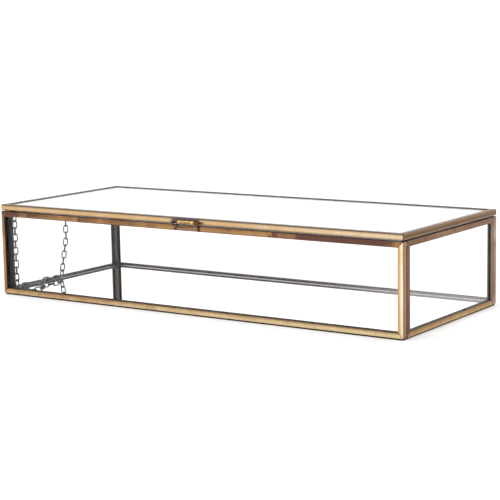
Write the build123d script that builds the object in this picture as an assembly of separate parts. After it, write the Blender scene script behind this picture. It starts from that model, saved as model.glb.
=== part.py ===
from build123d import *
import math
import os

# A long, low jewelry box with a hinged lid. Every wall and the lid is a pane of
# glass in a frame of four mitred brass channels, the floor is a mirror on a black
# board, and a fine cable chain from the lid to the left wall stops the lid.
# Millimetres. The origin is under the middle of the box on the surface that it
# stands on: +X to the right along the front, +Y to the back, +Z up.

# ---- Driving dimensions -------------------------------------------------------
BOX_LENGTH = 300.0
BOX_DEPTH = 120.0
BOX_HEIGHT = 60.0

CHANNEL_WIDTH = 3.8  # across the pane
CHANNEL_DEPTH = 3.6  # from the frame's outer edge to the tips of its flanges
BRASS_SHEET = 0.5
FOLD_RADIUS = 0.5  # outside radius of the channel's two folds
CORNER_RADIUS = 0.8  # each frame's blunted corners
MITRE_GAP = 0.1
PANE_PLAY = 0.05

BOARD_THICKNESS = 0.8
BOARD_INSET = 0.7
MIRROR_THICKNESS = 2.0
MIRROR_PLAY = 0.2
LID_GAP = 0.5  # between the body's rim and the closed lid

SEAM_GAP = 0.4  # solder between a side frame and its neighbour
SEAM_INSET = 0.6  # below the outer face

HINGE_SPACING = 190.0
KNUCKLE_RADIUS = 1.2
KNUCKLE_CLEARANCE = 0.3
OUTER_KNUCKLE = 4.0
MIDDLE_KNUCKLE = 4.4
LEAF_THICKNESS = 0.8
LID_LEAF_HEIGHT = 3.4
BODY_LEAF_HEIGHT = 4.2
PIN_RADIUS = 0.6
PIN_CLEARANCE = 0.05
PIN_HEAD_RADIUS = 0.95
PIN_HEAD_THICKNESS = 0.4

PULL_X = 2.5
PULL_BARREL_LENGTH = 12.0
PULL_BARREL_RADIUS = 1.0
PULL_WIRE_RADIUS = 0.65
PULL_CLEARANCE = 0.05
PULL_CHORD = 26.0  # between the bail's two corners, before they are rounded
PULL_REACH = 5.4  # from its straight side to the middle of its bowed one
PULL_END_RADIUS = 1.6
PULL_DROOP = 22.0  # degrees below level at rest
PULL_HEIGHT = 57.4

WIRE_RADIUS = 0.425  # chain wire
LINK_PITCH = 4.4
LINK_PLAY = 0.1
LINK_END_RADIUS = 1.375
CHAIN_X = -144.1
FRONT_STRAND_Y = -53.0
REAR_EYE_Y = -2.1
FRONT_STRAND_LINKS = 11
REAR_UPPER_LINKS = 5
REAR_LOWER_LINKS = 6
UPPER_LEAN = 1.3  # degrees, towards the front
LOWER_LEAN = 13.1
# Each run of links on the mirror: how many, whether its first link stands upright,
# and whether that link encloses the pivot or has its own end wire there.
FLOOR_RUNS = [
    (1, False, False),
    (3, True, False),
    (3, False, True),
    (3, True, False),
    (1, False, True),
]
FIRST_YAW = 29.0  # degrees that the second floor run heads away from the wall
LAST_YAW = -20.0
STRAND_TWIST = 34.0  # degrees that the links in mid-strand are turned about the strand
TWIST_STEP = 17.0  # degrees from one link to the next
CHAIN_REST_GAP = 0.15  # under an upright link on the mirror
EYE_RADIUS = 1.3
LID_EYE_PLATE_DEPTH = 2.4
LID_EYE_PLATE_THICKNESS = 0.5
BODY_EYE_HEIGHT = 4.0
BODY_EYE_PAD_HEIGHT = 2.0
BODY_EYE_PAD_RISE = 2.4  # from the eye's lower wire to the middle of its pad

# ---- Derived levels and places ------------------------------------------------
LID_BOTTOM = BOX_HEIGHT - CHANNEL_WIDTH
BODY_TOP = LID_BOTTOM - LID_GAP
BODY_BOTTOM = BOARD_THICKNESS
BODY_FRAME_HEIGHT = BODY_TOP - BODY_BOTTOM
MIRROR_TOP = BOARD_THICKNESS + MIRROR_THICKNESS
WALL_INNER_X = BOX_LENGTH / 2 - CHANNEL_WIDTH
WALL_INNER_Y = BOX_DEPTH / 2 - CHANNEL_WIDTH

HINGE_Y = BOX_DEPTH / 2 + KNUCKLE_CLEARANCE + KNUCKLE_RADIUS
HINGE_Z = LID_BOTTOM - LID_GAP / 2

PULL_Y = -BOX_DEPTH / 2 - PULL_BARREL_RADIUS

WIRE_STEP = 2 * WIRE_RADIUS + LINK_PLAY  # how far neighbouring links overlap
LINK_LENGTH = LINK_PITCH + WIRE_STEP  # between the centrelines of a link's ends
FLOOR_LINE = MIRROR_TOP + CHAIN_REST_GAP + LINK_END_RADIUS + WIRE_RADIUS


# ---- Channel frames -----------------------------------------------------------
def glazed_frame(length, height):
    """Four mitred channels and their pane, flat on XY about the origin."""
    blank = Box(length, height, CHANNEL_WIDTH)
    blank = fillet(blank.edges().filter_by(Axis.Z), CORNER_RADIUS)
    blank = fillet(blank.faces().filter_by(Axis.Z).edges(), FOLD_RADIUS)
    window = Box(length - 2 * CHANNEL_DEPTH, height - 2 * CHANNEL_DEPTH, 2 * CHANNEL_WIDTH)
    groove = Box(
        length - 2 * BRASS_SHEET,
        height - 2 * BRASS_SHEET,
        CHANNEL_WIDTH - 2 * BRASS_SHEET,
    )
    ring = blank - window - groove
    strips = {
        "top": ring & mitre_block(length, height, 0),
        "bottom": ring & mitre_block(length, height, 180),
        "left": ring & mitre_block(height, length, 90),
        "right": ring & mitre_block(height, length, -90),
    }
    inset = 2 * (BRASS_SHEET + PANE_PLAY)
    pane = Box(length - inset, height - inset, CHANNEL_WIDTH - inset)
    return strips, pane


def mitre_block(side, across, turn):
    """The space of one strip of a frame: its side is +Y before it is turned."""
    outer = across / 2
    reach = CHANNEL_DEPTH + MITRE_GAP
    half_gap = MITRE_GAP / math.sqrt(2)
    outline = Polyline(
        (-side / 2 + half_gap, outer),
        (side / 2 - half_gap, outer),
        (side / 2 - half_gap - reach, outer - reach),
        (-side / 2 + half_gap + reach, outer - reach),
        close=True,
    )
    block = extrude(make_face(outline), CHANNEL_WIDTH, both=True)
    return Rot(0, 0, turn) * block


def place_frame(prefix, length, height, location):
    strips, pane = glazed_frame(length, height)
    placed = {f"{prefix}_{side}_strip": location * strip for side, strip in strips.items()}
    placed[f"{prefix}_glass"] = location * pane
    return placed


def wall_places():
    """Each wall frame's size and place, drawn flat and then stood upright."""
    middle_z = (BODY_BOTTOM + BODY_TOP) / 2
    wall_y = (BOX_DEPTH - CHANNEL_WIDTH) / 2
    wall_x = (BOX_LENGTH - CHANNEL_WIDTH) / 2
    side_length = 2 * (WALL_INNER_Y - SEAM_GAP)
    places = {}
    # A front or back frame's left strip is at -X.
    for prefix, y in (("front", -wall_y), ("back", wall_y)):
        places[prefix] = (BOX_LENGTH, Pos(0, y, middle_z) * Rot(90, 0, 0))
    # A side frame's left strip is at the front of the box and its right one at the back.
    for prefix, x in (("left", -wall_x), ("right", wall_x)):
        places[prefix] = (side_length, Pos(x, 0, middle_z) * Rot(0, 0, 90) * Rot(90, 0, 0))
    return places


def make_walls():
    walls = {}
    for prefix, (length, place) in wall_places().items():
        walls.update(place_frame(prefix, length, BODY_FRAME_HEIGHT, place))
    return walls


def make_lid():
    flat = Pos(0, 0, BOX_HEIGHT - CHANNEL_WIDTH / 2)
    return place_frame("lid", BOX_LENGTH, BOX_DEPTH, flat)


def make_seams():
    """The solder in the joint between each side frame and its neighbour."""
    seams = {}
    middle_z = (BODY_BOTTOM + BODY_TOP) / 2
    seam_width = CHANNEL_WIDTH - SEAM_INSET
    seam_x = WALL_INNER_X + seam_width / 2
    seam_y = WALL_INNER_Y - SEAM_GAP / 2
    seam = Box(seam_width, SEAM_GAP, BODY_FRAME_HEIGHT - 2 * FOLD_RADIUS)
    for end, y_sign in (("front", -1), ("back", 1)):
        for side, x_sign in (("left", -1), ("right", 1)):
            place = Pos(x_sign * seam_x, y_sign * seam_y, middle_z)
            seams[f"{end}_{side}_solder_seam"] = place * seam
    return seams


# ---- Base ---------------------------------------------------------------------
def make_base():
    board = Pos(0, 0, BOARD_THICKNESS / 2) * Box(
        BOX_LENGTH - 2 * BOARD_INSET, BOX_DEPTH - 2 * BOARD_INSET, BOARD_THICKNESS
    )
    mirror = Pos(0, 0, BOARD_THICKNESS + MIRROR_THICKNESS / 2) * Box(
        2 * (WALL_INNER_X - MIRROR_PLAY), 2 * (WALL_INNER_Y - MIRROR_PLAY), MIRROR_THICKNESS
    )
    return {"base_board": board, "base_mirror": mirror}


# ---- Hinges -------------------------------------------------------------------
def rod(radius, length, x, y, z):
    """A round bar along X with its middle at (x, y, z)."""
    return Pos(x, y, z) * Rot(0, 90, 0) * Cylinder(radius, length)


def leaf_plate(x, length, low_z, high_z):
    middle_y = BOX_DEPTH / 2 + LEAF_THICKNESS / 2
    return Pos(x, middle_y, (low_z + high_z) / 2) * Box(length, LEAF_THICKNESS, high_z - low_z)


def make_hinge(side, x):
    hinge_length = 2 * OUTER_KNUCKLE + MIDDLE_KNUCKLE + 2 * KNUCKLE_CLEARANCE
    outer_x = (hinge_length - OUTER_KNUCKLE) / 2
    bore = rod(PIN_RADIUS + PIN_CLEARANCE, 2 * hinge_length, x, HINGE_Y, HINGE_Z)

    lid_leaf = leaf_plate(x, MIDDLE_KNUCKLE, HINGE_Z, LID_BOTTOM + LID_LEAF_HEIGHT)
    lid_leaf += leaf_plate(
        x, hinge_length, LID_BOTTOM + 2 * LID_GAP + KNUCKLE_CLEARANCE, LID_BOTTOM + LID_LEAF_HEIGHT
    )
    lid_leaf += rod(KNUCKLE_RADIUS, MIDDLE_KNUCKLE, x, HINGE_Y, HINGE_Z)

    leaf_foot = BODY_TOP - BODY_LEAF_HEIGHT
    leaf_head = HINGE_Z - KNUCKLE_RADIUS - KNUCKLE_CLEARANCE
    body_leaf = leaf_plate(x, hinge_length, leaf_foot, leaf_head)
    for offset in (-outer_x, outer_x):
        body_leaf += leaf_plate(x + offset, OUTER_KNUCKLE, leaf_foot, HINGE_Z)
        body_leaf += rod(KNUCKLE_RADIUS, OUTER_KNUCKLE, x + offset, HINGE_Y, HINGE_Z)

    head_x = hinge_length / 2 + PIN_CLEARANCE + PIN_HEAD_THICKNESS / 2
    pin = rod(PIN_RADIUS, 2 * head_x, x, HINGE_Y, HINGE_Z)
    for offset in (-head_x, head_x):
        head = rod(PIN_HEAD_RADIUS, PIN_HEAD_THICKNESS, x + offset, HINGE_Y, HINGE_Z)
        pin += head
    return {
        f"{side}_hinge_lid_leaf": lid_leaf - bore,
        f"{side}_hinge_body_leaf": body_leaf - bore,
        f"{side}_hinge_pin": pin,
    }


# ---- Pull ---------------------------------------------------------------------
def make_pull():
    barrel = rod(PULL_BARREL_RADIUS, PULL_BARREL_LENGTH, PULL_X, PULL_Y, PULL_HEIGHT)
    solder = Pos(PULL_X, -BOX_DEPTH / 2 - PULL_BARREL_RADIUS / 2, PULL_HEIGHT) * Box(
        PULL_BARREL_LENGTH, PULL_BARREL_RADIUS, PULL_BARREL_RADIUS
    )
    bore_radius = PULL_WIRE_RADIUS + PULL_CLEARANCE
    bore = rod(bore_radius, 2 * PULL_BARREL_LENGTH, PULL_X, PULL_Y, PULL_HEIGHT)

    # The bail lies level before it droops: its straight side runs through the barrel.
    left = (-PULL_CHORD / 2, 0)
    right = (PULL_CHORD / 2, 0)
    straight = Line(left, right)
    bow = ThreePointArc(right, (0, -PULL_REACH), left)
    outline = make_face([straight, bow])
    outline = fillet(outline.vertices(), PULL_END_RADIUS)
    loop_wire = outline.face().outer_wire()
    start = loop_wire @ 0
    section = Plane(origin=start, z_dir=loop_wire % 0) * Circle(PULL_WIRE_RADIUS)
    bail = sweep(section, path=loop_wire)
    bail = Pos(PULL_X, PULL_Y, PULL_HEIGHT) * Rot(PULL_DROOP, 0, 0) * bail
    return {"pull_barrel": barrel + solder - bore, "pull_bail": bail}


# ---- Chain --------------------------------------------------------------------
def wire_loop(end_radius, length):
    """A closed wire link in XZ, its length along Z between end centrelines."""
    straight = length - 2 * end_radius
    bar = Cylinder(WIRE_RADIUS, straight)
    ring = Rot(90, 0, 0) * Torus(end_radius, WIRE_RADIUS)
    size = 4 * end_radius
    upper = Pos(0, 0, size / 2) * Box(size, size, size)
    cap = ring & upper
    loop = Pos(0, 0, straight / 2) * cap
    loop += Pos(0, 0, -straight / 2) * Rot(180, 0, 0) * cap
    for x in (-end_radius, end_radius):
        loop += Pos(x, 0, 0) * bar
    return loop


def link_run(first_end, heading, upright, across, first_upright, twists):
    """Links one after another, one for each twist, in degrees about the heading.

    first_end is the centreline of the first link's end.
    """
    link = wire_loop(LINK_END_RADIUS, LINK_LENGTH)
    links = []
    for index, twist in enumerate(twists):
        is_upright = (index % 2 == 0) == first_upright
        middle = first_end + heading * (index * LINK_PITCH + LINK_LENGTH / 2)
        cosine = math.cos(math.radians(twist))
        sine = math.sin(math.radians(twist))
        if is_upright:
            width = upright * cosine - across * sine
        else:
            width = across * cosine + upright * sine
        place = Plane(origin=middle, x_dir=width, z_dir=heading)
        links.append(place.location * link)
    return links


def strand_twists(count):
    """No twist at the strand's two ends, and the whole twist in its middle."""
    return [
        min(STRAND_TWIST, TWIST_STEP * index, TWIST_STEP * (count - 1 - index))
        for index in range(count)
    ]


def strand_heading(lean):
    """Down, leaning lean degrees towards the front."""
    angle = math.radians(lean)
    return Vector(0, -math.sin(angle), -math.cos(angle))


def strand_upright(lean):
    angle = math.radians(lean)
    return Vector(0, math.cos(angle), -math.sin(angle))


def floor_heading(yaw):
    """Towards the back, turned yaw degrees away from the left wall."""
    angle = math.radians(yaw)
    return Vector(math.sin(angle), math.cos(angle), 0)


def floor_across(yaw):
    angle = math.radians(yaw)
    return Vector(math.cos(angle), -math.sin(angle), 0)


def chain_pivots():
    """Every pivot of the chain at rest, and the yaw of each run on the floor."""
    foot = Vector(CHAIN_X, FRONT_STRAND_Y, FLOOR_LINE)
    strand = FRONT_STRAND_LINKS * LINK_PITCH - WIRE_STEP
    lid_eye = foot + Vector(0, 0, strand)

    # Rear strand: its upper run ends where the lower run's first link begins.
    upper = REAR_UPPER_LINKS * LINK_PITCH - WIRE_STEP
    lower = (REAR_LOWER_LINKS - 1) * LINK_PITCH + LINK_LENGTH - WIRE_STEP
    drop = strand_heading(UPPER_LEAN) * upper + strand_heading(LOWER_LEAN) * lower
    body_eye = Vector(CHAIN_X, REAR_EYE_Y, FLOOR_LINE - drop.Z)
    bend = body_eye + strand_heading(UPPER_LEAN) * upper
    rear_foot = body_eye + drop

    # Floor: the third and fourth runs close the gap to the rear strand's foot.
    lengths = floor_run_lengths()
    yaws = [0.0, FIRST_YAW]
    turns = [foot]
    for yaw, length in zip(yaws, lengths):
        turns.append(turns[-1] + floor_heading(yaw) * length)
    last_turn = rear_foot - floor_heading(LAST_YAW) * lengths[-1]
    gap = last_turn - turns[-1]
    bearing = math.degrees(math.atan2(gap.X, gap.Y))
    third = bearing - corner_angle(lengths[2], gap.length, lengths[3])
    fourth = bearing + corner_angle(lengths[3], gap.length, lengths[2])
    turns.append(turns[-1] + floor_heading(third) * lengths[2])
    turns.append(last_turn)
    yaws += [third, fourth, LAST_YAW]
    pivots = {
        "lid_eye": lid_eye,
        "floor_runs": turns,
        "rear_foot": rear_foot,
        "bend": bend,
        "body_eye": body_eye,
    }
    return pivots, yaws


def floor_run_lengths():
    """From each floor run's pivot to the next run's pivot."""
    lengths = []
    following = FLOOR_RUNS[1:] + [(0, True, True)]
    for (count, _, encloses), (_, _, next_encloses) in zip(FLOOR_RUNS, following):
        start = -WIRE_STEP if encloses else 0
        if next_encloses:
            lengths.append(start + (count - 1) * LINK_PITCH + LINK_LENGTH)
        else:
            lengths.append(start + count * LINK_PITCH)
    return lengths


def corner_angle(side_a, side_b, opposite):
    """Degrees between side_a and side_b of a triangle, from its three sides."""
    cosine = (side_a**2 + side_b**2 - opposite**2) / (2 * side_a * side_b)
    return math.degrees(math.acos(cosine))


def make_chain():
    pivots, yaws = chain_pivots()
    across = Vector(1, 0, 0)
    chain = {}

    down = strand_heading(0)
    start = pivots["lid_eye"] - down * WIRE_STEP
    chain["chain_front_strand"] = link_run(
        start, down, strand_upright(0), across, True, strand_twists(FRONT_STRAND_LINKS)
    )

    up = Vector(0, 0, 1)
    runs = zip(pivots["floor_runs"], yaws, FLOOR_RUNS)
    for number, (pivot, yaw, (count, begins_upright, encloses)) in enumerate(runs, start=1):
        heading = floor_heading(yaw)
        first = pivot - heading * WIRE_STEP if encloses else pivot
        chain[f"chain_floor_run_{number}"] = link_run(
            first, heading, up, floor_across(yaw), begins_upright, [0.0] * count
        )

    twists = strand_twists(REAR_UPPER_LINKS + REAR_LOWER_LINKS)
    upper_twists = twists[:REAR_UPPER_LINKS]
    lower_twists = twists[REAR_UPPER_LINKS:]
    heading = strand_heading(UPPER_LEAN)
    start = pivots["body_eye"] - heading * WIRE_STEP
    chain["chain_rear_upper"] = link_run(
        start, heading, strand_upright(UPPER_LEAN), across, True, upper_twists
    )
    heading = strand_heading(LOWER_LEAN)
    chain["chain_rear_lower"] = link_run(
        pivots["bend"], heading, strand_upright(LOWER_LEAN), across, False, lower_twists
    )
    return chain


def make_eyes():
    """The lid's eye hangs from the tip of a flange, the body's from a wall."""
    pivots, _ = chain_pivots()
    lid_pivot = pivots["lid_eye"]
    flange_tip_x = -BOX_LENGTH / 2 + CHANNEL_DEPTH
    pane_bottom = LID_BOTTOM + BRASS_SHEET + PANE_PLAY
    plate_top = pane_bottom - PANE_PLAY
    plate_end_x = CHAIN_X + EYE_RADIUS
    plate = Pos(
        (flange_tip_x + plate_end_x) / 2, lid_pivot.Y, plate_top - LID_EYE_PLATE_THICKNESS / 2
    ) * Box(plate_end_x - flange_tip_x, LID_EYE_PLATE_DEPTH, LID_EYE_PLATE_THICKNESS)
    eye_length = plate_top - LID_EYE_PLATE_THICKNESS - lid_pivot.Z
    lid_eye = Pos(CHAIN_X, lid_pivot.Y, lid_pivot.Z + eye_length / 2) * wire_loop(
        EYE_RADIUS, eye_length
    )
    lid_eye += plate

    body_pivot = pivots["body_eye"]
    ring = Pos(CHAIN_X, body_pivot.Y, body_pivot.Z + BODY_EYE_HEIGHT / 2) * wire_loop(
        EYE_RADIUS, BODY_EYE_HEIGHT
    )
    pad_end_x = CHAIN_X - EYE_RADIUS
    pad = Pos(
        (-WALL_INNER_X + pad_end_x) / 2, body_pivot.Y, body_pivot.Z + BODY_EYE_PAD_RISE
    ) * Box(pad_end_x + WALL_INNER_X, 2 * WIRE_RADIUS, BODY_EYE_PAD_HEIGHT)
    return {"lid_chain_eye": lid_eye, "body_chain_eye": ring + pad}


# ---- Assembly -----------------------------------------------------------------
def main():
    pieces = make_walls()
    pieces.update(make_seams())
    pieces.update(make_base())
    pieces.update(make_lid())
    for side, x in (("left", -HINGE_SPACING / 2), ("right", HINGE_SPACING / 2)):
        pieces.update(make_hinge(side, x))
    pieces.update(make_pull())
    pieces.update(make_chain())
    pieces.update(make_eyes())
    os.makedirs("parts", exist_ok=True)
    for name, shape in pieces.items():
        solids = shape if isinstance(shape, list) else [shape]
        single = [solid for piece in solids for solid in piece.solids()]
        export_step(Compound(children=single), f"parts/{name}.step")


main()
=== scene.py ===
import math

import bmesh
import bpy
from mathutils import Matrix, Vector, noise


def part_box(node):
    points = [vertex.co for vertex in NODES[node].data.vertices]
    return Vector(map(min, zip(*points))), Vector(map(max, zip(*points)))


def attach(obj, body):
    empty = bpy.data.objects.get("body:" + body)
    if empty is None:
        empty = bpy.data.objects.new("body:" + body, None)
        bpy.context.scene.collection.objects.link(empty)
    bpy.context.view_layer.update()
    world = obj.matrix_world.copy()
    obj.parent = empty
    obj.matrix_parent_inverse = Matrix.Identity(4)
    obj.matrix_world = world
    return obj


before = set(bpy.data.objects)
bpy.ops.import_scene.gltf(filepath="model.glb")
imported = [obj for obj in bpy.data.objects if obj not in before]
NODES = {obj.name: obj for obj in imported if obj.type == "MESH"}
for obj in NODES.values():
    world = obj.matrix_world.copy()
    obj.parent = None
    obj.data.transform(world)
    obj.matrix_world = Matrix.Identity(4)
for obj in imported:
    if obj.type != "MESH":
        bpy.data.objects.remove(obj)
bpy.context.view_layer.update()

MM = 0.001
WHITE = (1.0, 1.0, 1.0, 1.0)

# ---- Places, read from the frame, in metres -------------------------------------
WALL_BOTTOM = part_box("front_bottom_strip")[0][2]
WALL_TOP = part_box("front_top_strip")[1][2]
HALF_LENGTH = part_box("front_right_strip")[1][0]
SEAM_LOW, SEAM_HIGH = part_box("front_right_solder_seam")
SEAM_Y = (SEAM_LOW[1] + SEAM_HIGH[1]) / 2
BARREL_LOW, BARREL_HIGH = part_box("pull_barrel")

# ---- Places in millimetres, for the materials -----------------------------------
LOW, HIGH = WALL_BOTTOM / MM, WALL_TOP / MM
LID_LOW, LID_HIGH = (corner[2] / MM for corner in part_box("lid_bottom_strip"))
END_X = HALF_LENGTH / MM
END_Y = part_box("back_top_strip")[1][1] / MM
SIDE_END = -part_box("right_left_strip")[0][1] / MM
SEAM_EDGE = SIDE_END - 1.0
PULL_MIDDLE = (BARREL_LOW[0] + BARREL_HIGH[0]) / 2 / MM

# How thick the brass-coloured skin is on the walls and on the lid's sides and top.
WALL_SKIN, LID_SIDE_SKIN, LID_TOP_SKIN = 0.35, 0.45, 0.5
SKIN_BLUR = 0.1
# How far from a mitre its dark line ends, and how far it is fully dark.
MITRE_FADE, MITRE_DARK = 0.4, 0.12
# The zone round the pull on the lid, darkened by soldering and by painted shadow and reflection of the
# bail.
HEAT_AND_SHADE_MIDDLE, HEAT_AND_SHADE_HEIGHT = PULL_MIDDLE - 1.6, BARREL_LOW[2] / MM + 1.0
HEAT_AND_SHADE_HALF_WIDTH, HEAT_AND_SHADE_HALF_HEIGHT = 11.5, 5.5
# Painted shadow and reflection of the bail's ends on the front rail below the pull.
BAIL_SHADE_MIDDLE, BAIL_SHADE_DISTANCE = PULL_MIDDLE - 0.2, 9.1
BAIL_SHADE_FADE, BAIL_SHADE_DARK = 1.7, 0.7


# ---- Small helpers for node trees ---------------------------------------------
def new_material(name):
    material = bpy.data.materials.new(name)
    material.use_nodes = True
    material.node_tree.nodes.clear()
    return material, material.node_tree


def node(tree, kind, inputs=None, **settings):
    """A new node; an input's value is a plain value or the socket that feeds it."""
    made = tree.nodes.new(kind)
    for key, value in settings.items():
        setattr(made, key, value)
    for key, value in (inputs or {}).items():
        if isinstance(value, bpy.types.NodeSocket):
            tree.links.new(value, made.inputs[key])
        else:
            made.inputs[key].default_value = value
    return made


def maths(tree, operation, first, second=0.0, third=0.0, clamp=False):
    made = node(tree, "ShaderNodeMath", {0: first, 1: second, 2: third}, operation=operation)
    made.use_clamp = clamp
    return made.outputs[0]


def mix_colour(tree, factor, first, second, blend="MIX"):
    made = tree.nodes.new("ShaderNodeMix")
    made.data_type = "RGBA"
    made.blend_type = blend
    for socket, value in ((made.inputs[0], factor), (made.inputs[6], first), (made.inputs[7], second)):
        if isinstance(value, bpy.types.NodeSocket):
            tree.links.new(value, socket)
        else:
            socket.default_value = value
    return made.outputs[2]


def ramp(tree, factor, low, high, out_low=0.0, out_high=1.0):
    """factor carried smoothly from low..high to out_low..out_high; low may be above high."""
    made = node(
        tree,
        "ShaderNodeMapRange",
        {"Value": factor, "From Min": low, "From Max": high, "To Min": out_low, "To Max": out_high},
        interpolation_type="SMOOTHSTEP",
    )
    return made.outputs["Result"]


def millimetres(tree):
    """The shaded point at rest, in millimetres, and its three parts."""
    place = node(tree, "ShaderNodeTexCoord").outputs["Object"]
    scaled = node(
        tree, "ShaderNodeVectorMath", {0: place, 1: (1 / MM,) * 3}, operation="MULTIPLY"
    ).outputs[0]
    parts = node(tree, "ShaderNodeSeparateXYZ", {0: scaled}).outputs
    return scaled, parts["X"], parts["Y"], parts["Z"]


def cloud(tree, place, scale, detail=4.0, roughness=0.55, offset=(0, 0, 0)):
    """Noise with scale cells per millimetre, one number or one for each axis."""
    stretch = scale if isinstance(scale, tuple) else (scale,) * 3
    mapped = node(
        tree, "ShaderNodeMapping", {"Vector": place, "Scale": stretch, "Location": offset}
    ).outputs[0]
    made = node(
        tree,
        "ShaderNodeTexNoise",
        {"Vector": mapped, "Scale": 1.0, "Detail": detail, "Roughness": roughness},
    )
    return made.outputs[0]


def finish_surface(tree, shader):
    node(tree, "ShaderNodeOutputMaterial", {"Surface": shader})


def bumped(tree, height, distance, strength=1.0):
    made = node(
        tree, "ShaderNodeBump", {"Height": height, "Distance": distance, "Strength": strength}
    )
    return made.outputs[0]


def tone(red, green, blue):
    """A display colour, 0 to 255, as linear light."""
    def linear(value):
        value = value / 255
        return value / 12.92 if value <= 0.04045 else ((value + 0.055) / 1.055) ** 2.4

    return (linear(red), linear(green), linear(blue), 1.0)


# ---- Materials ----------------------------------------------------------------
GUNMETAL = tone(55, 55, 55)
GUNMETAL_PALE = tone(75, 75, 75)
TARNISH = tone(70, 45, 30)
# Dark brown for painted shade in gaps and along edges, for painted shadow and reflection of the bail, and
# for the dark of seams, mitres and solder heat.
SHADE_AND_SEAM_DARK = tone(50, 35, 25)
BRONZE = tone(70, 60, 50)
RED_BROWN, BROWN, OCHRE = tone(100, 70, 60), tone(140, 105, 75), tone(175, 135, 95)
GOLD, PALE, CREAM = tone(200, 160, 110), tone(225, 200, 155), tone(250, 235, 205)
MAUVE, UMBER = tone(130, 100, 85), tone(120, 85, 65)
PLUM, PINK_BROWN = tone(100, 85, 90), tone(140, 110, 95)


def grey(tree, value):
    return node(
        tree, "ShaderNodeCombineColor", {"Red": value, "Green": value, "Blue": value}
    ).outputs[0]


def patches_along(tree, place, along):
    """Blocks of older and newer patina, each about 18 mm long, from 0 to 1."""
    stretch = tuple(0.055 if axis == along else 0.02 for axis in "XYZ")
    waver = cloud(tree, place, 0.3, 2.0, 0.5, (5.0, 1.0, 8.0))
    shifted = node(
        tree,
        "ShaderNodeVectorMath",
        {0: place, 1: grey(tree, maths(tree, "MULTIPLY", waver, 5.0))},
        operation="ADD",
    ).outputs[0]
    mapped = node(tree, "ShaderNodeMapping", {"Vector": shifted, "Scale": stretch}).outputs[0]
    cells = node(
        tree, "ShaderNodeTexVoronoi", {"Vector": mapped, "Scale": 1.0}, distance="CHEBYCHEV"
    ).outputs["Color"]
    return node(tree, "ShaderNodeSeparateColor", {0: cells}).outputs["Red"]


def marked(tree, colour, axes, marks):
    """colour with each mark laid over it, as marks are listed below; many are painted shade and
    highlights.
    """
    for axis, start, finish, mark, strength in marks:
        reach = ramp(tree, axes[axis], start, finish, 0.0, strength)
        colour = mix_colour(tree, reach, colour, mark)
    return colour


def faces_and_mitre(tree, strip, x, y, z):
    """How far a point is inside the outer skin, and how far past its corner's mitre."""
    end_x = maths(tree, "SUBTRACT", END_X, maths(tree, "ABSOLUTE", x))
    end_y = maths(tree, "SUBTRACT", END_Y, maths(tree, "ABSOLUTE", y))
    nearest_end = maths(tree, "MINIMUM", end_x, end_y)
    if strip.startswith("lid"):
        side = maths(tree, "SUBTRACT", LID_SIDE_SKIN, nearest_end)
        top = maths(tree, "SUBTRACT", z, LID_HIGH - LID_TOP_SKIN)
        return maths(tree, "MAXIMUM", side, top), maths(tree, "SUBTRACT", end_x, end_y)
    side = maths(tree, "SUBTRACT", WALL_SKIN, nearest_end)
    rim = maths(tree, "SUBTRACT", z, HIGH - WALL_SKIN)
    outside = maths(tree, "MAXIMUM", side, rim)
    above_foot = maths(tree, "SUBTRACT", z, LOW)
    below_rim = maths(tree, "SUBTRACT", HIGH, z)
    end_z = maths(tree, "MINIMUM", above_foot, below_rim)
    if strip.startswith(("front", "back")):
        strip_end = end_x
    else:
        strip_end = maths(tree, "SUBTRACT", end_y, END_Y - SIDE_END)
    return outside, maths(tree, "SUBTRACT", strip_end, end_z)


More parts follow.
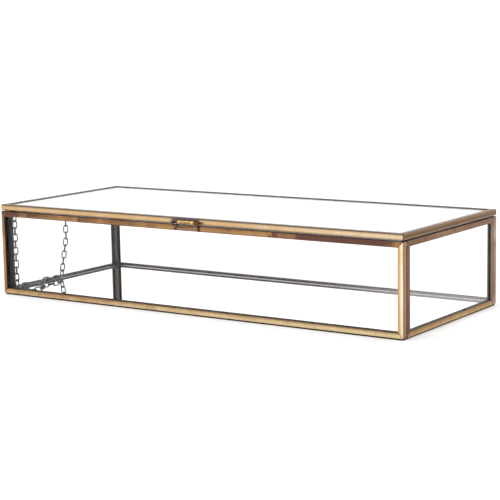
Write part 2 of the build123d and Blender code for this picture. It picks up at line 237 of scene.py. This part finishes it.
def brass_material(strip):
    """Brushed, patinated brass outside and dark metal on the faces towards the glass, both with painted
    shade and light.

    strip is the name of a row of STRIPS.
    """
    along, grain, dark, light, blockiness, shades, marks, inner_marks = STRIPS[strip]
    material, tree = new_material(f"brass_{strip}")
    place, x, y, z = millimetres(tree)
    axes = {"X": x, "Y": y, "Z": z}
    streak_scale = tuple(0.05 if axis == grain else 1.7 for axis in "XYZ")
    long_scale = tuple(0.012 if axis == along else 0.9 for axis in "XYZ")
    streaks = cloud(tree, place, streak_scale, 5.0, 0.7)
    bands = cloud(tree, place, long_scale, 3.0, 0.5, (3.1, 7.7, 1.9))
    patches = cloud(tree, place, 0.11, 5.0, 0.6)
    specks = cloud(tree, place, 1.3, 3.0, 0.6, (11.0, 5.0, 2.0))
    blocks = patches_along(tree, place, along)

    mood = maths(tree, "MULTIPLY_ADD", bands, 0.4, maths(tree, "MULTIPLY", patches, 0.6))
    mood = maths(tree, "MULTIPLY_ADD", blocks, blockiness, mood)
    for axis, start, finish, amount in shades:
        mood = maths(tree, "ADD", mood, ramp(tree, axes[axis], start, finish, 0.0, amount))
    colour = mix_colour(tree, ramp(tree, mood, 0.44, 0.9), dark, light)
    brushing = ramp(tree, streaks, 0.35, 0.68, 0.8, 1.1)
    colour = mix_colour(tree, 1.0, colour, grey(tree, brushing), "MULTIPLY")
    colour = mix_colour(tree, ramp(tree, specks, 0.62, 0.74, 0.0, 0.45), colour, TARNISH)
    colour = marked(tree, colour, axes, marks)
    if strip == "lid_bottom":
        colour = heat_and_bail_shade(tree, colour, x, z, patches)
    if strip == "front_top":
        colour = painted_bail_shade(tree, colour, x, patches)

    outside, mitre = faces_and_mitre(tree, strip, x, y, z)
    from_mitre = maths(tree, "ABSOLUTE", mitre)
    seam = ramp(tree, from_mitre, MITRE_FADE, MITRE_DARK, 0.0, 0.8)
    colour = mix_colour(tree, seam, colour, SHADE_AND_SEAM_DARK)
    inner = mix_colour(tree, ramp(tree, bands, 0.25, 0.85), GUNMETAL, GUNMETAL_PALE)
    inner = marked(tree, inner, axes, inner_marks)
    shown = ramp(tree, outside, -SKIN_BLUR, SKIN_BLUR)
    colour = mix_colour(tree, shown, inner, colour)

    height = maths(tree, "MULTIPLY_ADD", specks, 0.5, streaks)
    shader = node(
        tree,
        "ShaderNodeBsdfPrincipled",
        {
            "Base Color": colour,
            "Metallic": 1.0,
            "Roughness": ramp(tree, streaks, 0.3, 0.7, 0.22, 0.42),
            "Normal": bumped(tree, height, 0.00004, 0.5),
        },
    ).outputs[0]
    finish_surface(tree, shader)
    return material


def squared_share(tree, value, middle, half):
    """The square of value's distance from middle, as a share of half."""
    distance = maths(tree, "ABSOLUTE", maths(tree, "SUBTRACT", value, middle))
    return maths(tree, "POWER", maths(tree, "DIVIDE", distance, half), 2.0)


def heat_and_bail_shade(tree, colour, x, z, patches):
    """Darkening round the pull on the lid's front: solder heat, and painted shadow and reflection of the
    bail.
    """
    across = squared_share(tree, x, HEAT_AND_SHADE_MIDDLE, HEAT_AND_SHADE_HALF_WIDTH)
    up = squared_share(tree, z, HEAT_AND_SHADE_HEIGHT, HEAT_AND_SHADE_HALF_HEIGHT)
    spread = maths(tree, "SQRT", maths(tree, "ADD", across, up))
    uneven = maths(tree, "MULTIPLY_ADD", patches, 0.5, maths(tree, "SUBTRACT", spread, 0.25))
    near = ramp(tree, uneven, 1.1, 0.85, 0.0, 0.88)
    return mix_colour(tree, near, colour, mix_colour(tree, patches, SHADE_AND_SEAM_DARK, PLUM))


def painted_bail_shade(tree, colour, x, patches):
    """Painted shadow and reflection of the bail on the front rail: dark below its two ends, mauve between.
    """
    from_pull = maths(tree, "ABSOLUTE", maths(tree, "SUBTRACT", x, BAIL_SHADE_MIDDLE))
    mauve = ramp(tree, from_pull, BAIL_SHADE_DISTANCE + 0.4, BAIL_SHADE_DISTANCE - 1.6, 0.0, 0.5)
    colour = mix_colour(tree, mauve, colour, PINK_BROWN)
    from_bail_shade = maths(tree, "SUBTRACT", from_pull, BAIL_SHADE_DISTANCE)
    waver = maths(tree, "MULTIPLY_ADD", patches, 0.8, from_bail_shade)
    bail_shade_line = ramp(tree, maths(tree, "ABSOLUTE", waver), BAIL_SHADE_FADE, BAIL_SHADE_DARK, 0.0, 0.85)
    return mix_colour(tree, bail_shade_line, colour, SHADE_AND_SEAM_DARK)


def plain_metal(name, dark, light, roughness, grain=0.8, depth=0.00003):
    material, tree = new_material(name)
    place, _, _, _ = millimetres(tree)
    mottle = cloud(tree, place, grain, 5.0, 0.6)
    fine = cloud(tree, place, grain * 5, 3.0, 0.6, (4.0, 9.0, 2.0))
    shader = node(
        tree,
        "ShaderNodeBsdfPrincipled",
        {
            "Base Color": mix_colour(tree, ramp(tree, mottle, 0.35, 0.68), dark, light),
            "Metallic": 1.0,
            "Roughness": ramp(tree, fine, 0.3, 0.7, roughness - 0.07, roughness + 0.09),
            "Normal": bumped(tree, maths(tree, "MULTIPLY_ADD", fine, 0.4, mottle), depth, 0.6),
        },
    ).outputs[0]
    finish_surface(tree, shader)
    return material


def glass_material(name, index, haze):
    """Clear glass with faint smears, and no shadow.

    index is its refractive index, and haze, from 0 to 1, is a bloom of dust that shows
    mostly when the pane is seen at a low angle.
    """
    material, tree = new_material(name)
    place, _, _, _ = millimetres(tree)
    smears = cloud(tree, place, (0.05, 0.02, 0.05), 4.0, 0.6)
    ripple = cloud(tree, place, 0.012, 1.0, 0.4)
    glass = node(
        tree,
        "ShaderNodeBsdfPrincipled",
        {
            "Base Color": WHITE,
            "Roughness": ramp(tree, smears, 0.55, 0.8, 0.0, 0.02),
            "IOR": index,
            "Transmission Weight": 1.0,
            "Sheen Weight": haze,
            "Sheen Roughness": 0.3,
            "Sheen Tint": WHITE,
            "Coat Weight": haze,
            "Normal": bumped(tree, ripple, 0.00002, 0.15 - 0.1 * haze),
        },
    ).outputs[0]
    open_to_lamps = node(tree, "ShaderNodeBsdfTransparent").outputs[0]
    shadow = node(tree, "ShaderNodeLightPath").outputs["Is Shadow Ray"]
    shader = node(tree, "ShaderNodeMixShader", {0: shadow, 1: glass, 2: open_to_lamps}).outputs[0]
    finish_surface(tree, shader)
    return material


def mirror_material():
    material, tree = new_material("silvered_mirror")
    place, _, _, _ = millimetres(tree)
    smears = cloud(tree, place, (0.03, 0.06, 0.03), 4.0, 0.6)
    dust = cloud(tree, place, 1.6, 2.0, 0.5)
    shader = node(
        tree,
        "ShaderNodeBsdfPrincipled",
        {
            "Base Color": mix_colour(
                tree, ramp(tree, dust, 0.6, 0.8, 0.0, 0.25), tone(253, 253, 253), tone(230, 230, 230)
            ),
            "Metallic": 1.0,
            "Roughness": ramp(tree, smears, 0.5, 0.8, 0.005, 0.04),
        },
    ).outputs[0]
    finish_surface(tree, shader)
    return material


def board_material():
    material, tree = new_material("black_board")
    place, _, _, _ = millimetres(tree)
    fibres = cloud(tree, place, 1.8, 5.0, 0.7)
    shader = node(
        tree,
        "ShaderNodeBsdfPrincipled",
        {
            "Base Color": mix_colour(tree, fibres, tone(15, 15, 10), tone(40, 35, 35)),
            "Roughness": ramp(tree, fibres, 0.3, 0.7, 0.7, 0.95),
            "Normal": bumped(tree, fibres, 0.0001, 0.6),
        },
    ).outputs[0]
    finish_surface(tree, shader)
    return material


def paint(name, material):
    """Gives a CAD node's object this material in all its slots."""
    obj = NODES[name]
    if not obj.material_slots:
        obj.data.materials.append(material)
    for slot in obj.material_slots:
        slot.link = "OBJECT"
        slot.material = material


# ---- Each strip's look ----------------------------------------------------------
# Where a strip's colour runs to another: axis, from, to, the colour there and how far.
# Painted shade: dark along the walls' top edge where the lid meets them, and browner towards the top
# strips' lower edge, next to the glass.
RIM_SHADE = [("Z", HIGH - 0.65, HIGH - 0.15, SHADE_AND_SEAM_DARK, 0.95), ("Z", HIGH - 2.8, HIGH - 3.6, UMBER, 0.5)]
# Painted shade: browner below the bottom strips' top edge, a dark line along that edge next to the glass,
# and a dark line along their bottom edge.
FOOT_SHADE = [
    ("Z", LOW + 1.9, LOW + 3.0, BROWN, 0.7),
    ("Z", LOW + 2.9, LOW + 3.4, SHADE_AND_SEAM_DARK, 0.9),
    ("Z", LOW + 0.25, LOW + 0.05, SHADE_AND_SEAM_DARK, 0.9),
]
FOOT_LIFT = ("Z", LOW + 2.2, LOW + 0.7, 0.16)
# Browner bands near the lid's top and lower edges, a bronze top flange, and painted shade along the lower
# edge where the lid meets the walls.
LID_BANDS_AND_SHADE = [
    ("Z", LID_HIGH - 1.7, LID_HIGH - 0.6, BROWN, 0.6),
    ("Z", LID_HIGH - 0.8, LID_HIGH - 0.3, BRONZE, 0.95),
    ("Z", LID_LOW + 1.3, LID_LOW + 0.5, BROWN, 0.5),
    ("Z", LID_LOW + 0.45, LID_LOW + 0.1, SHADE_AND_SEAM_DARK, 0.9),
]
# The lid's right strip: browner bands near its edges, a bronze top edge, and painted shade along the lower
# edge where the lid meets the walls.
LID_RIGHT_BANDS_AND_SHADE = [
    ("Z", LID_HIGH - 1.5, LID_HIGH - 0.8, tone(140, 100, 65), 0.8),
    ("Z", LID_LOW + 1.4, LID_LOW + 0.7, tone(135, 105, 80), 0.9),
    ("Z", LID_HIGH - 0.4, LID_HIGH - 0.1, BRONZE, 0.6),
    ("Z", LID_LOW + 0.4, LID_LOW + 0.1, SHADE_AND_SEAM_DARK, 0.9),
]
# Painted light on the front right post: gold shade towards its inner edge and a brown, shaded side face,
# round its cream highlight.
FRONT_RIGHT_LIGHT_AND_SHADE = [
    ("X", END_X - 0.9, END_X - 3.2, tone(185, 145, 100), 0.95),
    ("X", END_X - 0.6, END_X - 0.1, tone(140, 100, 60), 0.95),
]
# Painted shade: a dark line along the front left post's inner edge, next to the glass.
FRONT_LEFT_SHADE = [("X", -END_X + 2.2, -END_X + 2.8, SHADE_AND_SEAM_DARK, 1.0)]
POST_EDGE = [("Y", -SEAM_EDGE, -SIDE_END, tone(90, 70, 70), 0.9)]
BACK_POST_EDGE = [("Y", SEAM_EDGE, SIDE_END, SHADE_AND_SEAM_DARK, 0.9)]
# Painted highlight: a pale band low on the left bottom rail's face towards the glass.
RAIL_INNER_HIGHLIGHT = [("Z", LOW + 2.45, LOW + 2.15, tone(170, 170, 170), 0.8)]
# Painted reflections on the back bottom rail's face towards the glass: paler over the right half and a
# pale band low down, with a browner band at its top.
BACK_RAIL_INNER_HIGHLIGHTS = [
    ("X", 0, 100, tone(150, 145, 150), 0.8),
    ("Z", LOW + 2.8, LOW + 3.4, UMBER, 0.4),
    ("Z", LOW + 2.55, LOW + 2.1, tone(215, 215, 215), 0.8),
]
BACK_POST_INNER = [
    ("X", -END_X + 1.6, -END_X + 2.4, tone(100, 85, 80), 0.8),
    ("X", -END_X + 2.8, -END_X + 3.4, GUNMETAL, 0.9),
]
SIDE_POST_INNER = [("Y", SIDE_END - 2.4, SIDE_END - 1.6, tone(90, 80, 75), 0.8)]

# For each strip: its direction, the direction of its brush marks, the dark and light tones
# of its patina and of its painted light and shade, how blocky that is, where it grows
# lighter or darker (axis, from, to, how much), its marks, and the marks on its faces
# towards the glass.
FRONT_TOP_SHADES = [("X", 70, 110, -0.4), ("X", 136, 148, 0.4), ("X", -80, -130, -0.1)]
LID_PALE = tone(220, 195, 160)
STRIPS = {
    "front_top": ("X", "X", RED_BROWN, tone(170, 130, 85), 0.3, FRONT_TOP_SHADES, RIM_SHADE, []),
    "front_bottom": ("X", "Z", OCHRE, PALE, 0.05, [("X", -130, 140, 0.28), FOOT_LIFT], FOOT_SHADE, []),
    "front_left": ("Z", "Z", BROWN, GOLD, 0.1, [], FRONT_LEFT_SHADE, []),
    # Painted highlight: the front right post's pale and cream tones, lighter towards its outer edge.
    "front_right": ("Z", "Z", PALE, CREAM, 0.08, [("X", 147, 148.5, 0.25)], FRONT_RIGHT_LIGHT_AND_SHADE, []),
    # Painted shade: the right-hand strips are browner and darker than the front ones, as that side is
    # turned from the light.
    "right_top": ("Y", "Y", tone(110, 75, 50), tone(155, 120, 85), 0.12, [], RIM_SHADE, []),
    "right_bottom": ("Y", "Z", tone(170, 130, 80), tone(210, 170, 115), 0.08, [FOOT_LIFT], FOOT_SHADE, []),
    "right_left": ("Z", "Z", tone(100, 70, 55), tone(135, 105, 80), 0.1, [], POST_EDGE, []),
    "right_right": ("Z", "Z", UMBER, tone(145, 130, 115), 0.1, [], BACK_POST_EDGE, []),
    "left_top": ("Y", "Y", UMBER, OCHRE, 0.12, [], RIM_SHADE, []),
    "left_bottom": ("Y", "Z", BROWN, GOLD, 0.08, [], FOOT_SHADE, RAIL_INNER_HIGHLIGHT),
    "left_left": ("Z", "Z", BROWN, GOLD, 0.1, [], POST_EDGE, []),
    "left_right": ("Z", "Z", BROWN, OCHRE, 0.1, [], BACK_POST_EDGE, SIDE_POST_INNER),
    "back_top": ("X", "X", RED_BROWN, OCHRE, 0.22, [], RIM_SHADE, []),
    "back_bottom": ("X", "Z", BROWN, GOLD, 0.08, [], FOOT_SHADE, BACK_RAIL_INNER_HIGHLIGHTS),
    "back_left": ("Z", "Z", BROWN, GOLD, 0.1, [], [], BACK_POST_INNER),
    "back_right": ("Z", "Z", MAUVE, tone(200, 185, 170), 0.1, [], [], []),
    "lid_bottom": ("X", "Z", tone(205, 170, 125), LID_PALE, 0.06, [("X", 10, 120, 0.3)], LID_BANDS_AND_SHADE, []),
    "lid_top": ("X", "X", BROWN, GOLD, 0.1, [], LID_BANDS_AND_SHADE, []),
    "lid_left": ("Y", "Y", BROWN, GOLD, 0.1, [], LID_BANDS_AND_SHADE, []),
    # Painted shade: the lid's right strip is browner and darker, as that side is turned from the light.
    "lid_right": ("Y", "Y", tone(90, 65, 40), tone(130, 95, 60), 0.1, [], LID_RIGHT_BANDS_AND_SHADE, []),
}


def paint_all():
    """Paints every CAD node, and returns the material that the solder beads share."""
    for strip in STRIPS:
        paint(f"{strip}_strip", brass_material(strip))
    glass = glass_material("clear_glass", 1.22, 0.0)
    for pane in ("front", "back", "left", "right"):
        paint(f"{pane}_glass", glass)
    paint("lid_glass", glass_material("dusty_glass", 1.45, 1.0))
    paint("base_mirror", mirror_material())
    paint("base_board", board_material())
    solder = plain_metal("solder", tone(110, 100, 105), tone(190, 180, 190), 0.42, 1.2, 0.00006)
    seam = plain_metal("dark_solder", tone(65, 50, 40), tone(105, 80, 65), 0.5, 1.2, 0.00006)
    hinge = plain_metal("hinge_brass", RED_BROWN, OCHRE, 0.36)
    barrel = plain_metal("barrel_brass", tone(150, 110, 65), tone(225, 190, 130), 0.26, 0.5)
    bail = plain_metal("bail_brass", tone(40, 30, 20), tone(130, 95, 60), 0.3, 0.35)
    chain = plain_metal("chain_steel", tone(25, 25, 25), tone(135, 135, 135), 0.28, 1.1)
    for name in NODES:
        if name.endswith("_solder_seam"):
            paint(name, seam)
        elif "_hinge_" in name:
            paint(name, hinge)
        elif "chain" in name:
            paint(name, chain)
    paint("pull_barrel", barrel)
    paint("pull_bail", bail)
    return solder


# ---- Solder beads at the ends of the corner seams ------------------------------
BEAD_RADII = (0.66 * MM, 0.95 * MM, 1.2 * MM)
BEAD_X = HALF_LENGTH - 0.78 * MM
BEAD_LEVELS = (("low", WALL_BOTTOM + 1.5 * MM), ("high", WALL_TOP - 1.7 * MM))
BEAD_UNEVENNESS, BEAD_WAVES = 0.22, 1.7


def solder_bead(name, centre, seed, material):
    """A small uneven drop of solder."""
    mesh = bpy.data.meshes.new(name)
    drop = bmesh.new()
    bmesh.ops.create_icosphere(drop, subdivisions=4, radius=1.0)
    for vertex in drop.verts:
        direction = vertex.co.normalized()
        swell = 1 + BEAD_UNEVENNESS * noise.noise(direction * BEAD_WAVES + Vector((seed, 0, 0)))
        vertex.co = Vector(centre[i] + direction[i] * BEAD_RADII[i] * swell for i in range(3))
    drop.to_mesh(mesh)
    drop.free()
    for polygon in mesh.polygons:
        polygon.use_smooth = True
    obj = bpy.data.objects.new(name, mesh)
    bpy.context.scene.collection.objects.link(obj)
    mesh.materials.append(material)
    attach(obj, "body")


def make_beads(material):
    seed = 0
    for side, x_sign in (("left", -1), ("right", 1)):
        for end, y_sign in (("front", 1), ("back", -1)):
            for level, z in BEAD_LEVELS:
                seed += 1
                centre = (x_sign * BEAD_X, y_sign * SEAM_Y, z)
                solder_bead(f"solder_bead_{end}_{side}_{level}", centre, seed, material)


# ---- Floor, light and camera ---------------------------------------------------
FLOOR_HALF = 6.0
FLOOR_DARK, FLOOR_LIGHT = (0.95, 0.95, 0.95, 1.0), (0.97, 0.97, 0.97, 1.0)
LIGHT_TARGET = (0, 0, 0.03)
CAMERA_PLACE = (0.54358, -0.78749, 0.18072)
CAMERA_TURN, CAMERA_DIP, CAMERA_ROLL = 34.26, 8.84, -1.05
CAMERA_LENS, SENSOR_WIDTH = 109.1, 36.0


def make_floor():
    mesh = bpy.data.meshes.new("floor")
    corners = [(x * FLOOR_HALF, y * FLOOR_HALF, 0) for x, y in ((-1, -1), (1, -1), (1, 1), (-1, 1))]
    mesh.from_pydata(corners, [], [(0, 1, 2, 3)])
    floor = bpy.data.objects.new("floor", mesh)
    bpy.context.scene.collection.objects.link(floor)
    material, tree = new_material("pale_floor")
    place, _, _, _ = millimetres(tree)
    grain = cloud(tree, place, 0.02, 3.0, 0.5)
    shader = node(
        tree,
        "ShaderNodeBsdfPrincipled",
        {
            "Base Color": mix_colour(tree, grain, FLOOR_DARK, FLOOR_LIGHT),
            "Roughness": 0.9,
            "Specular IOR Level": 0.1,
        },
    ).outputs[0]
    finish_surface(tree, shader)
    mesh.materials.append(material)


def area_light(name, place, size, power):
    light = bpy.data.lights.new(name, "AREA")
    light.shape = "RECTANGLE"
    light.size, light.size_y = size
    light.energy = power
    obj = bpy.data.objects.new(name, light)
    bpy.context.scene.collection.objects.link(obj)
    obj.location = place
    aim = Vector(LIGHT_TARGET) - Vector(place)
    obj.rotation_euler = aim.to_track_quat("-Z", "Y").to_euler()


def make_light():
    world = bpy.data.worlds.new("studio")
    bpy.context.scene.world = world
    world.use_nodes = True
    background = world.node_tree.nodes["Background"]
    background.inputs["Color"].default_value = WHITE
    background.inputs["Strength"].default_value = 1.2
    area_light("key", (-0.9, -1.1, 1.5), (1.2, 0.8), 6)
    area_light("rim", (1.2, 0.9, 0.9), (0.8, 0.6), 3)


def make_camera():
    data = bpy.data.cameras.new("camera")
    data.sensor_width = SENSOR_WIDTH
    data.lens = CAMERA_LENS
    camera = bpy.data.objects.new("camera", data)
    bpy.context.scene.collection.objects.link(camera)
    turn = Matrix.Rotation(math.radians(CAMERA_TURN), 4, "Z")
    tilt = Matrix.Rotation(math.radians(90 - CAMERA_DIP), 4, "X")
    roll = Matrix.Rotation(math.radians(CAMERA_ROLL), 4, "Z")
    camera.matrix_world = Matrix.Translation(CAMERA_PLACE) @ turn @ tilt @ roll
    bpy.context.scene.camera = camera


def set_view():
    scene = bpy.context.scene
    scene.view_settings.view_transform = "Standard"
    scene.cycles.max_bounces = 24
    scene.cycles.transmission_bounces = 20
    scene.cycles.transparent_max_bounces = 24
    scene.cycles.glossy_bounces = 8


solder_material = paint_all()
make_beads(solder_material)
make_floor()
make_light()
make_camera()
set_view()
